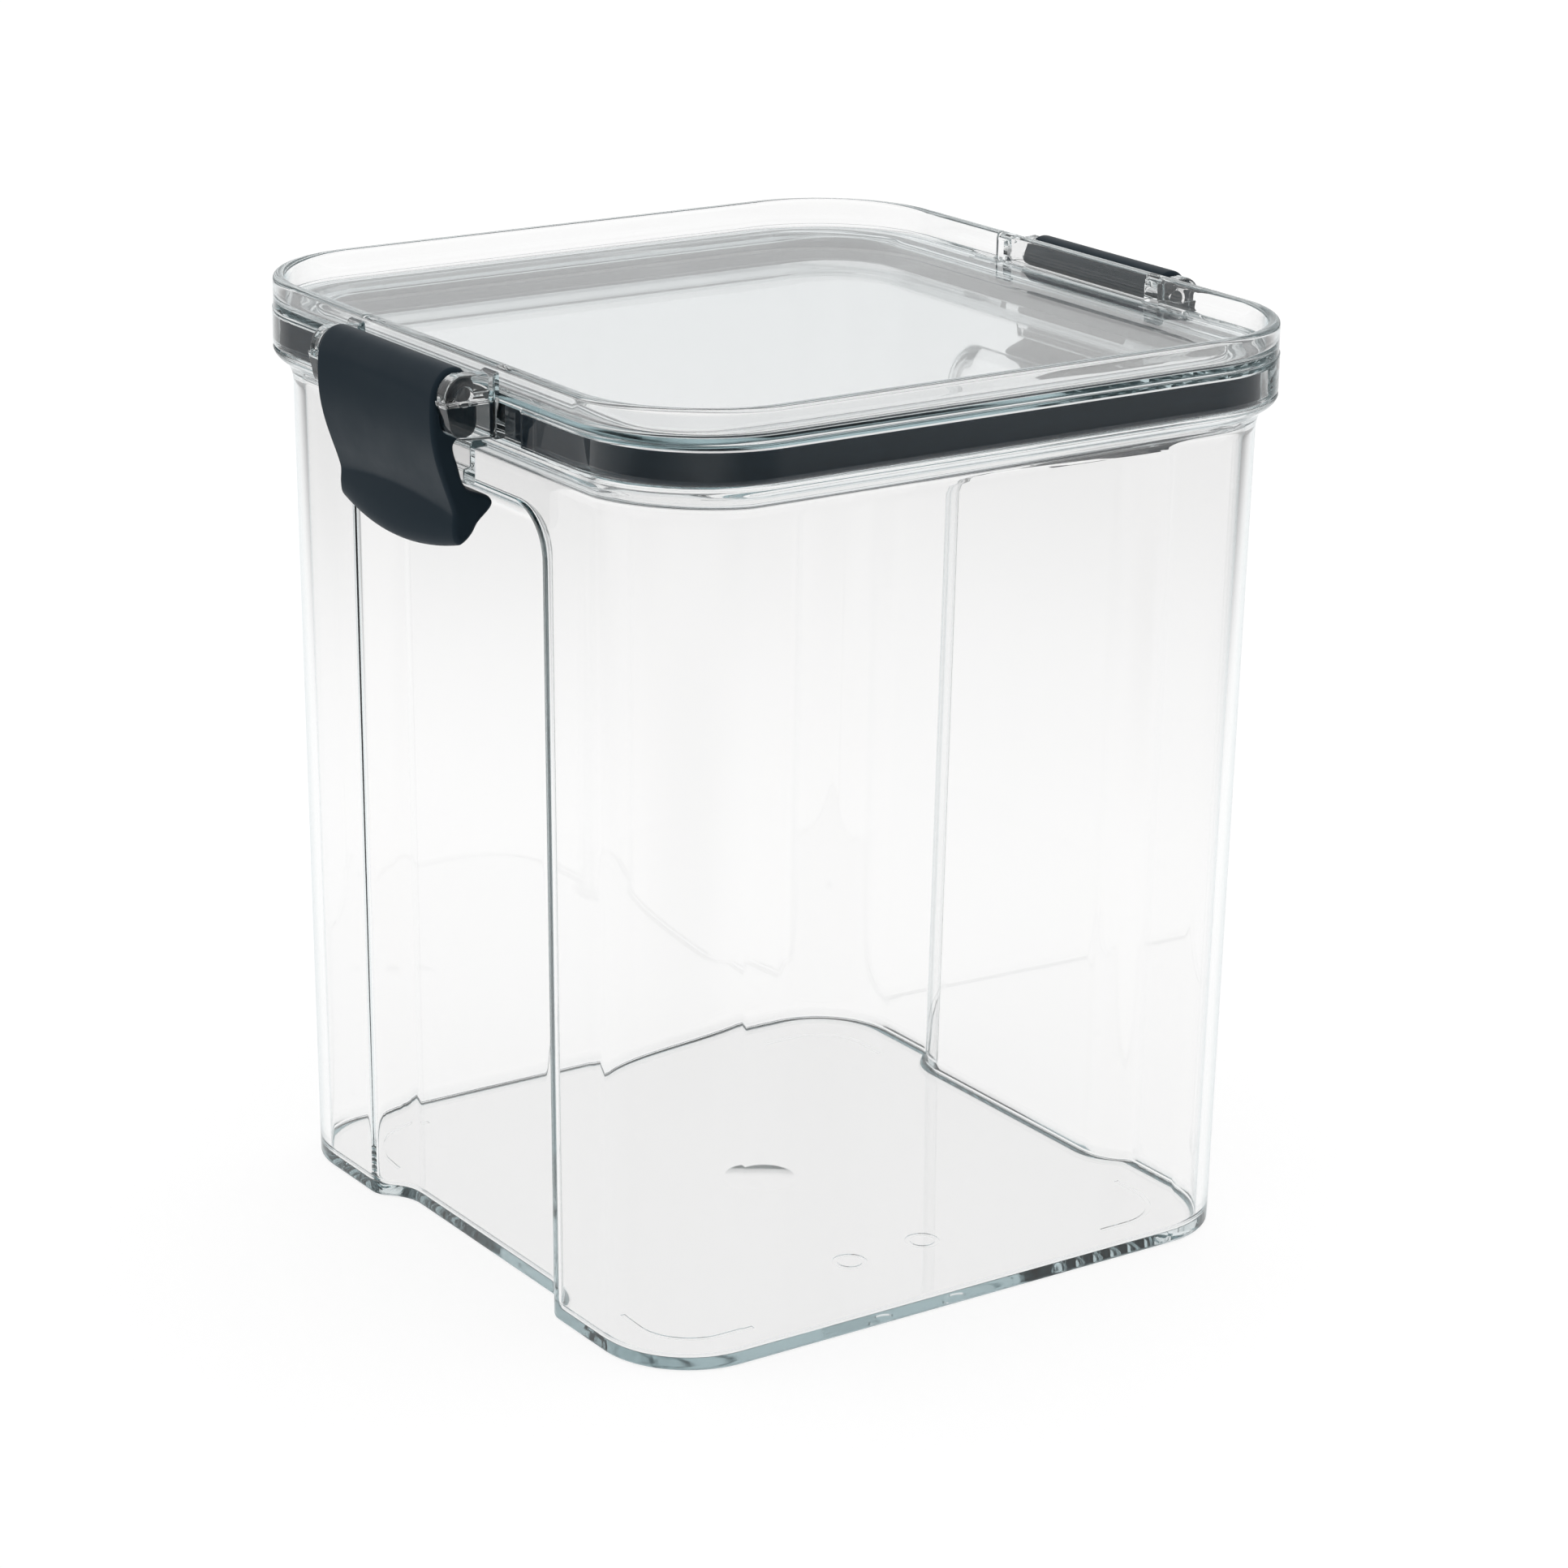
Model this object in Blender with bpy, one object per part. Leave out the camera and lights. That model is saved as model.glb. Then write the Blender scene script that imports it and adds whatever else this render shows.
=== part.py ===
"""Square food canister with a recessed tray lid, a lip-seal gasket and two swing latches.

Metres, +Z up. The origin is the centre of the base; the latches are on the -X and +X sides.
"""

import math

import bmesh
import bpy
from mathutils import Vector

MM = 0.001

# Overall size
HEIGHT = 181.0 * MM                    # base to the top of the lid's raised rim
LID_HALF_X = 75.0 * MM                 # lid skirt and body flange, half width
LID_HALF_Y = 77.2 * MM
LID_CORNER_R = 26.6 * MM

# Container body: a drafted square tub
BASE_HALF_X = 68.8 * MM
BASE_HALF_Y = 69.9 * MM
BASE_CORNER_R = 18.6 * MM
NECK_HALF_X = 71.0 * MM                # outside of the wall just under the flange
NECK_HALF_Y = 71.3 * MM
NECK_CORNER_R = 19.4 * MM
NECK_Z = 160.3 * MM                    # where the wall starts to flare into the flange
WALL = 2.2 * MM
FLOOR = 3.0 * MM
BASE_EDGE_R = 0.7 * MM
FLANGE_TOP_Z = 167.2 * MM              # flat seat for the gasket and the lid's skirt

# Finger recess in each latch side, open at the base. Its sides and top are S-curves: a crest that rolls
# out of the wall, a straight slope, and a wide fillet into the recess floor.
RECESS_HALF_W = 35.5 * MM              # where the side crests leave the wall
RECESS_TOP_Z = 156.2 * MM              # where the top crest leaves the wall
RECESS_DEPTH = 5.0 * MM
RECESS_CORNER_R = 9.5 * MM
SIDE_SLOPE = math.radians(45.0)
SIDE_CREST_R = 4.5 * MM
SIDE_FILLET_R = 9.0 * MM
TOP_SLOPE = math.radians(60.0)
TOP_CREST_R = 1.0 * MM
TOP_FILLET_R = 2.5 * MM

# Latch pocket in the lid's skirt above the recess
POCKET_HALF_W = 34.0 * MM
POCKET_FACE_X = 72.2 * MM
POCKET_TOP_Z = 174.4 * MM

# Catch that each latch hooks under: a plate that hangs from the flange, with a gap behind it and a foot
# turned outwards along its lower edge
CATCH_HALF_W = 20.0 * MM
CATCH_FACE_X = 77.0 * MM
CATCH_PLATE = 1.1 * MM
CATCH_FOOT_X = 78.4 * MM
CATCH_FOOT_TOP_Z = 161.4 * MM
CATCH_EDGE_Z = 158.4 * MM
CATCH_ROOT_Z = 164.8 * MM

# Lid
TOUCH = 0.3 * MM                       # gap kept between pieces that touch
RIM_WALL = 2.4 * MM
RIM_STEP = 0.2 * MM                    # the raised rim stands in from the skirt
SHOULDER_Z = 174.8 * MM                # top of the skirt, foot of the raised rim
TRAY_FLOOR_Z = 175.4 * MM
PLATE_UNDER_Z = 173.2 * MM
PLUG_HALF_X = 66.8 * MM                # plug that centres the lid in the mouth
PLUG_HALF_Y = 67.1 * MM
PLUG_CORNER_R = 15.2 * MM
PLUG_WALL = 1.8 * MM
PLUG_BOTTOM_Z = 164.2 * MM
CHANNEL_IN_HALF_X = 67.2 * MM          # inner wall of the gasket channel
CHANNEL_IN_HALF_Y = 71.2 * MM
CHANNEL_IN_CORNER_R = 18.4 * MM
CHANNEL_OUT_HALF_X = 70.9 * MM         # inner face of the skirt
CHANNEL_OUT_HALF_Y = 75.0 * MM
CHANNEL_OUT_CORNER_R = 22.2 * MM
CHANNEL_ROOF_Z = 173.5 * MM

# Gasket
GASKET_BOTTOM_Z = FLANGE_TOP_Z + TOUCH
GASKET_TOP_Z = CHANNEL_ROOF_Z - TOUCH
GASKET_GROOVE = 0.15 * MM

# Hinge ears on the lid and the latch pin
PIVOT_X = 80.6 * MM
PIVOT_Z = 175.5 * MM
PIN_R = 1.5 * MM
PIN_HOLE_R = 1.85 * MM
EAR_IN_Y = 21.3 * MM
EAR_OUT_Y = 25.0 * MM
EAR_ROOT_OUT_Y = 26.4 * MM
PIN_HOLE_END_Y = 24.1 * MM             # the holes are blind, so the ears' outer faces stay whole
PIN_END_Y = 23.8 * MM

# Latch
LATCH_HALF_W = 21.0 * MM
LATCH_BACK_HALF_W = 18.4 * MM          # hollow in the back of the latch, between its end webs
LATCH_BOW = 3.0 * MM                   # how much lower the lip is at its middle
LATCH_STATIONS = 9

CORNER_STEPS = 8


def clear_scene():
    for obj in list(bpy.data.objects):
        bpy.data.objects.remove(obj, do_unlink=True)


def material(name, colour, roughness, alpha=1.0, transmission=0.0):
    mat = bpy.data.materials.new(name)
    mat.use_nodes = True
    shader = mat.node_tree.nodes["Principled BSDF"]
    shader.inputs["Base Color"].default_value = (*colour, 1.0)
    shader.inputs["Roughness"].default_value = roughness
    shader.inputs["Metallic"].default_value = 0.0
    shader.inputs["Alpha"].default_value = alpha
    shader.inputs["Transmission Weight"].default_value = transmission
    mat.diffuse_color = (*colour, alpha)
    return mat


def rounded_ring(half_x, half_y, radius, z):
    """Points of a rounded rectangle at height z, anticlockwise seen from above."""
    points = []
    corners = (
        (half_x - radius, half_y - radius, 0.0),
        (radius - half_x, half_y - radius, 90.0),
        (radius - half_x, radius - half_y, 180.0),
        (half_x - radius, radius - half_y, 270.0),
    )
    for cx, cy, start in corners:
        for step in range(CORNER_STEPS + 1):
            turn = math.radians(start + 90.0 * step / CORNER_STEPS)
            points.append((cx + radius * math.cos(turn), cy + radius * math.sin(turn), z))
    return points


def add_object(name, bm, mat, smooth_angle=35.0):
    bmesh.ops.recalc_face_normals(bm, faces=bm.faces)
    mesh = bpy.data.meshes.new(name)
    bm.to_mesh(mesh)
    bm.free()
    mesh.shade_smooth()
    mesh.set_sharp_from_angle(angle=math.radians(smooth_angle))
    obj = bpy.data.objects.new(name, mesh)
    bpy.context.scene.collection.objects.link(obj)
    if mat is not None:
        mesh.materials.append(mat)
    return obj


def loft(name, rings, mat=None, closed_loop=False):
    """Skin through rings of equal length, capped at both ends unless the rings close on themselves."""
    bm = bmesh.new()
    rows = [[bm.verts.new(point) for point in ring] for ring in rings]
    pairs = list(zip(rows, rows[1:]))
    if closed_loop:
        pairs.append((rows[-1], rows[0]))
    for low, high in pairs:
        count = len(low)
        for i in range(count):
            j = (i + 1) % count
            bm.faces.new((low[i], low[j], high[j], high[i]))
    if not closed_loop:
        bm.faces.new(rows[0])
        bm.faces.new(rows[-1])
    return add_object(name, bm, mat)


def prism_y(name, profile_xz, y0, y1, mat=None):
    """Extrusion along Y of a closed (x, z) outline."""
    return loft(name, [[(x, y, z) for x, z in profile_xz] for y in (y0, y1)], mat)


def cutter(obj):
    obj.hide_render = True
    obj.display_type = "WIRE"
    return obj


def boolean(target, tool, operation):
    modifier = target.modifiers.new(f"{operation.lower()}_{tool.name}", "BOOLEAN")
    modifier.operation = operation
    modifier.solver = "EXACT"
    modifier.object = cutter(tool)


def wall_section(z):
    """Half widths and corner radius of the drafted outer wall at height z."""
    t = z / NECK_Z
    return (
        BASE_HALF_X + (NECK_HALF_X - BASE_HALF_X) * t,
        BASE_HALF_Y + (NECK_HALF_Y - BASE_HALF_Y) * t,
        BASE_CORNER_R + (NECK_CORNER_R - BASE_CORNER_R) * t,
    )


def s_curve(depth, total, crest_r, fillet_r, slope):
    """How far in from its start an S-curve has come when it is at a depth."""
    crest_depth = crest_r * (1.0 - math.cos(slope))
    fillet_depth = fillet_r * (1.0 - math.cos(slope))
    if depth <= crest_depth:
        return crest_r * math.sin(math.acos(1.0 - max(0.0, depth) / crest_r))
    straight = (total - crest_depth - fillet_depth) / math.tan(slope)
    if depth <= total - fillet_depth:
        return crest_r * math.sin(slope) + (depth - crest_depth) / math.tan(slope)
    left = math.acos(min(1.0, 1.0 - (total - depth) / fillet_r))
    return crest_r * math.sin(slope) + straight + fillet_r * (math.sin(slope) - math.sin(left))


def recess_outline(half_w, top_z, bottom_z, radius, steps=5):
    """(y, z) outline of the finger recess: upright sides and a top with rounded corners."""
    points = [(half_w, bottom_z)]
    for step in range(steps + 1):
        turn = math.radians(90.0 * step / steps)
        points.append((half_w - radius + radius * math.cos(turn), top_z - radius + radius * math.sin(turn)))
    for step in range(steps + 1):
        turn = math.radians(90.0 + 90.0 * step / steps)
        points.append((radius - half_w + radius * math.cos(turn), top_z - radius + radius * math.sin(turn)))
    points.append((-half_w, bottom_z))
    return points


def recess_block(name, side, bottom_z, start_depth, outside, side_radii, top_radii):
    """Block bounded by the recess's S-curves.

    start_depth is where the curves start, measured inwards from the wall's outside, and the block reaches
    from there to RECESS_DEPTH deeper; outside is how far it also stands out from its start.
    """
    crest_r, fillet_r = side_radii
    crest = [crest_r * (1.0 - math.cos(SIDE_SLOPE * part)) for part in (0.5, 1.0)]
    fillet = [RECESS_DEPTH - fillet_r * (1.0 - math.cos(SIDE_SLOPE * part)) for part in (1.0, 0.67, 0.33, 0.0)]
    outlines = [(-outside, -1.0 * MM, -1.0 * MM), (-0.1 * MM, -0.5 * MM, -0.5 * MM)]
    for depth in crest + fillet:
        outlines.append(
            (
                depth,
                s_curve(depth, RECESS_DEPTH, crest_r, fillet_r, SIDE_SLOPE),
                s_curve(depth, RECESS_DEPTH, top_radii[0], top_radii[1], TOP_SLOPE),
            )
        )
    rings = []
    for depth, in_y, in_z in outlines:
        radius = RECESS_CORNER_R - 0.6 * max(0.0, depth)
        outline = recess_outline(RECESS_HALF_W - in_y, RECESS_TOP_Z - in_z, bottom_z, radius)
        rings.append([(side * (wall_section(z)[0] - start_depth - depth), y, z) for y, z in outline])
    return loft(name, rings)


def make_container(mat):
    rings = []
    # Underside and rounded base edge
    hx, hy, r = BASE_HALF_X, BASE_HALF_Y, BASE_CORNER_R
    for step in range(4):
        turn = math.radians(90.0 * step / 3)
        inset = BASE_EDGE_R * (1.0 - math.sin(turn))
        rings.append(rounded_ring(hx - inset, hy - inset, r - inset, BASE_EDGE_R * (1.0 - math.cos(turn))))
    # Drafted wall
    rings.append(rounded_ring(*wall_section(NECK_Z), NECK_Z))
    # Flare: hollow curve out of the wall, then a full curve round the flange's edge
    nx, ny, nr = wall_section(NECK_Z)
    rise = FLANGE_TOP_Z - NECK_Z
    flare = (
        (0.05, 0.20), (0.14, 0.36), (0.30, 0.51), (0.50, 0.62), (0.70, 0.71),
        (0.86, 0.80), (0.96, 0.89), (1.0, 0.96),
    )

    def flange(out, z):
        rings.append(
            rounded_ring(
                nx + (LID_HALF_X - nx) * out, ny + (LID_HALF_Y - ny) * out, nr + (LID_CORNER_R - nr) * out, z
            )
        )

    for out, up in flare:
        flange(out, NECK_Z + rise * up)
    flange(0.95, FLANGE_TOP_Z)
    # Inside: mouth, drafted inner wall, floor
    rings.append(rounded_ring(nx - WALL, ny - WALL, nr - WALL, FLANGE_TOP_Z))
    fillet = 4.0 * MM
    hx, hy, r = wall_section(FLOOR + fillet)
    hx, hy, r = hx - WALL, hy - WALL, r - WALL
    for step in range(4):
        turn = math.radians(90.0 * step / 3)
        inset = fillet * (1.0 - math.cos(turn))
        rings.append(rounded_ring(hx - inset, hy - inset, r - inset, FLOOR + fillet * (1.0 - math.sin(turn))))
    body = loft("container_body", rings, mat)

    for side, tag in ((-1.0, "neg"), (1.0, "pos")):
        # The wall keeps its thickness round the recess, so the recess stands into the inside as a pad
        pad = recess_block(
            f"pad_{tag}", side, 1.0 * MM, WALL, 1.2 * MM,
            (SIDE_CREST_R - WALL, SIDE_FILLET_R + WALL), (0.5 * MM, TOP_FILLET_R + WALL),
        )
        boolean(body, pad, "UNION")
        inner_x = CATCH_FACE_X - CATCH_PLATE
        catch = prism_y(
            f"catch_{tag}",
            [
                (side * x, z)
                for x, z in (
                    (NECK_HALF_X + 0.6 * MM, CATCH_ROOT_Z),
                    (inner_x - 0.5 * MM, CATCH_ROOT_Z),
                    (inner_x, CATCH_ROOT_Z - 0.5 * MM),
                    (inner_x, CATCH_EDGE_Z + 0.4 * MM),
                    (inner_x + 0.3 * MM, CATCH_EDGE_Z),
                    (CATCH_FOOT_X - 0.8 * MM, CATCH_EDGE_Z),
                    (CATCH_FOOT_X, CATCH_EDGE_Z + 1.0 * MM),
                    (CATCH_FOOT_X, CATCH_FOOT_TOP_Z - 0.4 * MM),
                    (CATCH_FOOT_X - 0.4 * MM, CATCH_FOOT_TOP_Z),
                    (CATCH_FACE_X + 0.2 * MM, CATCH_FOOT_TOP_Z),
                    (CATCH_FACE_X, CATCH_FOOT_TOP_Z + 0.2 * MM),
                    (CATCH_FACE_X, FLANGE_TOP_Z - 2.0 * MM),
                    (CATCH_FACE_X - 0.9 * MM, FLANGE_TOP_Z - 0.9 * MM),
                    (LID_HALF_X - 1.0 * MM, FLANGE_TOP_Z - 0.6 * MM),
                    (NECK_HALF_X + 0.6 * MM, FLANGE_TOP_Z - 0.6 * MM),
                )
            ],
            -CATCH_HALF_W, CATCH_HALF_W,
        )
        recess = recess_block(
            f"recess_{tag}", side, -5.0 * MM, 0.0, 4.0 * MM,
            (SIDE_CREST_R, SIDE_FILLET_R), (TOP_CREST_R, TOP_FILLET_R),
        )
        boolean(body, catch, "UNION")
        boolean(body, recess, "DIFFERENCE")
    return body


def ear_outline():
    """(x, z) outline of a hinge ear on the +X side: flat root on the lid's wall, round nose over the pin."""
    points = [(LID_HALF_X - 1.2 * MM, PIVOT_Z + 3.6 * MM), (LID_HALF_X + 2.2 * MM, PIVOT_Z + 4.0 * MM)]
    nose = 4.3 * MM
    for step in range(7):
        turn = math.radians(78.0 - 90.0 * step / 6)
        points.append((PIVOT_X + nose * math.cos(turn), PIVOT_Z + nose * math.sin(turn)))
    points.append((PIVOT_X + 3.0 * MM, PIVOT_Z - 6.2 * MM))
    points.append((PIVOT_X + 1.2 * MM, PIVOT_Z - 7.4 * MM))
    points.append((PIVOT_X - 3.0 * MM, PIVOT_Z - 7.9 * MM))
    points.append((POCKET_FACE_X - 0.6 * MM, PIVOT_Z - 8.0 * MM))
    points.append((POCKET_FACE_X - 0.6 * MM, PIVOT_Z - 0.8 * MM))
    points.append((LID_HALF_X - 1.2 * MM, PIVOT_Z - 0.4 * MM))
    return points


def make_lid(mat):
    rings = []

    def plug(inset, z):
        rings.append(rounded_ring(PLUG_HALF_X - inset, PLUG_HALF_Y - inset, PLUG_CORNER_R - inset, z))

    def outside(inset, z):
        rings.append(rounded_ring(LID_HALF_X - inset, LID_HALF_Y - inset, LID_CORNER_R - inset, z))

    skirt_z = FLANGE_TOP_Z + TOUCH
    # Plug, then up one side of the gasket channel and down the other
    plug(0.5 * MM, PLUG_BOTTOM_Z)
    plug(0.0, PLUG_BOTTOM_Z + 0.5 * MM)
    plug(0.0, skirt_z + 0.1 * MM)
    rings.append(rounded_ring(CHANNEL_IN_HALF_X, CHANNEL_IN_HALF_Y, CHANNEL_IN_CORNER_R, skirt_z + 0.1 * MM))
    rings.append(rounded_ring(CHANNEL_IN_HALF_X, CHANNEL_IN_HALF_Y, CHANNEL_IN_CORNER_R, CHANNEL_ROOF_Z))
    rings.append(rounded_ring(CHANNEL_OUT_HALF_X, CHANNEL_OUT_HALF_Y, CHANNEL_OUT_CORNER_R, CHANNEL_ROOF_Z))
    rings.append(rounded_ring(CHANNEL_OUT_HALF_X, CHANNEL_OUT_HALF_Y, CHANNEL_OUT_CORNER_R, skirt_z))
    # Skirt that sits on the flange, and its shoulder
    outside(0.4 * MM, skirt_z)
    outside(0.0, skirt_z + 0.4 * MM)
    outside(0.0, SHOULDER_Z - 0.3 * MM)
    outside(RIM_STEP, SHOULDER_Z)
    # Raised rim with a rounded top, then the tray
    outside(RIM_STEP, HEIGHT - 1.0 * MM)
    outside(RIM_STEP + 0.35 * MM, HEIGHT - 0.3 * MM)
    outside(RIM_STEP + 1.0 * MM, HEIGHT)
    inner = RIM_STEP + RIM_WALL
    outside(inner - 1.0 * MM, HEIGHT)
    outside(inner - 0.35 * MM, HEIGHT - 0.3 * MM)
    outside(inner, HEIGHT - 1.0 * MM)
    outside(inner, TRAY_FLOOR_Z + 1.6 * MM)
    outside(inner + 0.5 * MM, TRAY_FLOOR_Z + 0.5 * MM)
    outside(inner + 1.6 * MM, TRAY_FLOOR_Z)
    lid = loft("lid", rings, mat)

    inner_x, inner_y, inner_r = PLUG_HALF_X - PLUG_WALL, PLUG_HALF_Y - PLUG_WALL, PLUG_CORNER_R - PLUG_WALL
    under = loft(
        "lid_underside",
        [
            rounded_ring(inner_x, inner_y, inner_r, PLUG_BOTTOM_Z - 3.0 * MM),
            rounded_ring(inner_x, inner_y, inner_r, PLATE_UNDER_Z - 1.0 * MM),
            rounded_ring(inner_x - 1.0 * MM, inner_y - 1.0 * MM, inner_r - 1.0 * MM, PLATE_UNDER_Z),
        ],
    )
    boolean(lid, under, "DIFFERENCE")

    for side, tag in ((-1.0, "neg"), (1.0, "pos")):
        pocket = prism_y(
            f"skirt_pocket_{tag}",
            [
                (side * x, z)
                for x, z in (
                    (POCKET_FACE_X, FLANGE_TOP_Z - 3.0 * MM),
                    (LID_HALF_X + 4.0 * MM, FLANGE_TOP_Z - 3.0 * MM),
                    (LID_HALF_X + 4.0 * MM, POCKET_TOP_Z),
                    (POCKET_FACE_X, POCKET_TOP_Z),
                )
            ],
            -POCKET_HALF_W, POCKET_HALF_W,
        )
        boolean(lid, pocket, "DIFFERENCE")
        for end in (-1.0, 1.0):
            where = f"{tag}_{'a' if end < 0 else 'b'}"
            ear = prism_y(
                f"ear_{where}", [(side * x, z) for x, z in ear_outline()], end * EAR_IN_Y, end * EAR_OUT_Y
            )
            root_x0, root_x1 = POCKET_FACE_X - 0.5 * MM, LID_HALF_X + 0.9 * MM
            root = prism_y(
                f"ear_root_{where}",
                [
                    (side * x, z)
                    for x, z in (
                        (root_x0, PIVOT_Z - 7.9 * MM),
                        (root_x1, PIVOT_Z - 7.9 * MM),
                        (root_x1, PIVOT_Z + 3.8 * MM),
                        (root_x1 - 0.6 * MM, PIVOT_Z + 4.2 * MM),
                        (LID_HALF_X - 1.3 * MM, PIVOT_Z + 4.2 * MM),
                        (LID_HALF_X - 1.3 * MM, PIVOT_Z - 0.9 * MM),
                        (root_x0, PIVOT_Z - 1.0 * MM),
                    )
                ],
                end * (EAR_IN_Y + 0.15 * MM), end * EAR_ROOT_OUT_Y,
            )
            boolean(lid, ear, "UNION")
            boolean(lid, root, "UNION")
        pin_hole = cylinder_y(f"pin_hole_{tag}", side * PIVOT_X, PIVOT_Z, PIN_HOLE_R, PIN_HOLE_END_Y)
        boolean(lid, pin_hole, "DIFFERENCE")
    return lid


def cylinder_y(name, x, z, radius, half_length, segments=16):
    outline = [
        (x + radius * math.cos(2 * math.pi * i / segments), z + radius * math.sin(2 * math.pi * i / segments))
        for i in range(segments)
    ]
    return prism_y(name, outline, -half_length, half_length)


def make_gasket(mat):
    out_x, out_y, out_r = CHANNEL_OUT_HALF_X - TOUCH, CHANNEL_OUT_HALF_Y - TOUCH, CHANNEL_OUT_CORNER_R - TOUCH
    in_x, in_y, in_r = CHANNEL_IN_HALF_X + TOUCH, CHANNEL_IN_HALF_Y + TOUCH, CHANNEL_IN_CORNER_R + TOUCH
    height = GASKET_TOP_Z - GASKET_BOTTOM_Z
    rings = []
    # Two sealing lips round the outside, with grooves above, between and below
    for up, inset in ((0.0, 1.0), (0.12, 1.0), (0.24, 0.0), (0.34, 0.0), (0.44, 1.0), (0.56, 1.0), (0.66, 0.0), (0.76, 0.0), (0.88, 1.0), (1.0, 1.0)):
        pull = GASKET_GROOVE * inset
        rings.append(rounded_ring(out_x - pull, out_y - pull, out_r - pull, GASKET_BOTTOM_Z + height * up))
    rings.append(rounded_ring(in_x, in_y, in_r, GASKET_TOP_Z))
    rings.append(rounded_ring(in_x, in_y, in_r, GASKET_BOTTOM_Z))
    return loft("gasket", rings, mat, closed_loop=True)


def latch_outline(y):
    """(x, z) section of the +X latch at distance y from its middle, relative to the row frame."""
    bow = 1.0 - (y / LATCH_HALF_W) ** 2
    down = -LATCH_BOW * bow
    crease = 1.4 * MM * bow
    flare = 0.9 * MM * bow
    mm = MM
    return [
        # top edge and outer face, down to the crease
        (79.0 * mm, 179.75 * mm),
        (80.6 * mm, 180.2 * mm),
        (82.4 * mm, 179.8 * mm),
        (84.0 * mm, 178.3 * mm),
        (85.0 * mm, 176.2 * mm),
        (85.4 * mm, 173.6 * mm),
        (85.4 * mm, 170.0 * mm),
        (85.0 * mm, 166.4 * mm),
        (84.1 * mm, 162.6 * mm),
        (82.8 * mm, 158.9 * mm),
        (81.6 * mm, 155.6 * mm + 0.5 * crease),
        (80.8 * mm, 152.9 * mm + crease),
        # pull lip
        (80.9 * mm + flare, 150.6 * mm + 0.3 * down),
        (80.6 * mm + flare, 148.6 * mm + down),
        (79.6 * mm + 0.8 * flare, 147.8 * mm + down),
        (78.4 * mm + 0.4 * flare, 148.3 * mm + 0.9 * down),
        # back of the lip and the hook under the catch
        (77.0 * mm, 149.6 * mm + 0.3 * down),
        (75.9 * mm, 151.3 * mm),
        (73.2 * mm, 153.8 * mm),
        (72.8 * mm, 154.7 * mm),
        (73.3 * mm, 155.7 * mm),
        (74.2 * mm, 156.35 * mm),
        (78.3 * mm, 158.1 * mm),
        # back of the wall, up to the hinge hub
        (80.0 * mm, 162.5 * mm),
        (80.8 * mm, 166.4 * mm),
        (80.9 * mm, 170.0 * mm),
        (79.2 * mm, 172.4 * mm),
        (77.9 * mm, 174.0 * mm),
        (77.5 * mm, 175.6 * mm),
        (77.7 * mm, 177.4 * mm),
        (78.2 * mm, 178.9 * mm),
    ]


def make_latch(name, side, mat):
    """The latch's origin is on its hinge axis."""
    origin = Vector((side * PIVOT_X, 0.0, PIVOT_Z))

    def local(points):
        return [(side * x - origin.x, y - origin.y, z - origin.z) for x, y, z in points]

    sections = []
    for i in range(LATCH_STATIONS):
        y = LATCH_HALF_W * (2.0 * i / (LATCH_STATIONS - 1) - 1.0)
        sections.append(local([(x, y, z) for x, z in latch_outline(y)]))
    latch = loft(name, sections, mat)
    latch.location = origin

    back = [
        (78.0 * MM, 159.6 * MM),
        (80.6 * MM, 159.6 * MM),
        (82.0 * MM, 163.2 * MM),
        (82.9 * MM, 166.8 * MM),
        (83.1 * MM, 170.4 * MM),
        (78.0 * MM, 170.4 * MM),
    ]
    hollow = loft(
        f"{name}_back",
        [local([(x, y, z) for x, z in back]) for y in (-LATCH_BACK_HALF_W, LATCH_BACK_HALF_W)],
    )
    hollow.location = origin
    boolean(latch, hollow, "DIFFERENCE")

    pin = cylinder_y(f"{name}_pin", 0.0, 0.0, PIN_R, PIN_END_Y)
    pin.location = origin
    boolean(latch, pin, "UNION")
    return latch


def main():
    clear_scene()
    clear_plastic = material("clear_plastic", (0.93, 0.95, 0.95), 0.06, alpha=0.35, transmission=0.9)
    charcoal_plastic = material("charcoal_plastic", (0.035, 0.042, 0.048), 0.42)
    silicone = material("silicone", (0.06, 0.075, 0.085), 0.55)
    make_container(clear_plastic)
    make_lid(clear_plastic)
    make_gasket(silicone)
    make_latch("latch_left", -1.0, charcoal_plastic)
    make_latch("latch_right", 1.0, charcoal_plastic)
    bpy.context.view_layer.update()


main()
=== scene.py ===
"""Visual model of a square clear food canister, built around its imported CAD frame.

Metres, +Z up, origin at the centre of the base. The latches are on the -X and +X sides.
"""

import math

import bmesh
import bpy
import numpy as np
from mathutils import Matrix, Vector


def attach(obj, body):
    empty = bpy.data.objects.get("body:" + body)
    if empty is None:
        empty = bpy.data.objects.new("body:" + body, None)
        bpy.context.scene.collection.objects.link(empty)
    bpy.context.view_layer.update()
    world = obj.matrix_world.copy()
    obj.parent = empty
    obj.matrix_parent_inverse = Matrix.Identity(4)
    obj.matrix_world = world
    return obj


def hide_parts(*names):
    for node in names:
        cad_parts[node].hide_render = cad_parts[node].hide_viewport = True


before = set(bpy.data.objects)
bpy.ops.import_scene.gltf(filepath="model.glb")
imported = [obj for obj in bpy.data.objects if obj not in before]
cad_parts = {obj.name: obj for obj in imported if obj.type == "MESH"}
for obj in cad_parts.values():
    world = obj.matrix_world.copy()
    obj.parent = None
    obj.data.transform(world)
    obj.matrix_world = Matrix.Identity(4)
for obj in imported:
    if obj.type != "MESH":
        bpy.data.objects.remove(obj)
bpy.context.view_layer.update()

MM = 0.001

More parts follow.
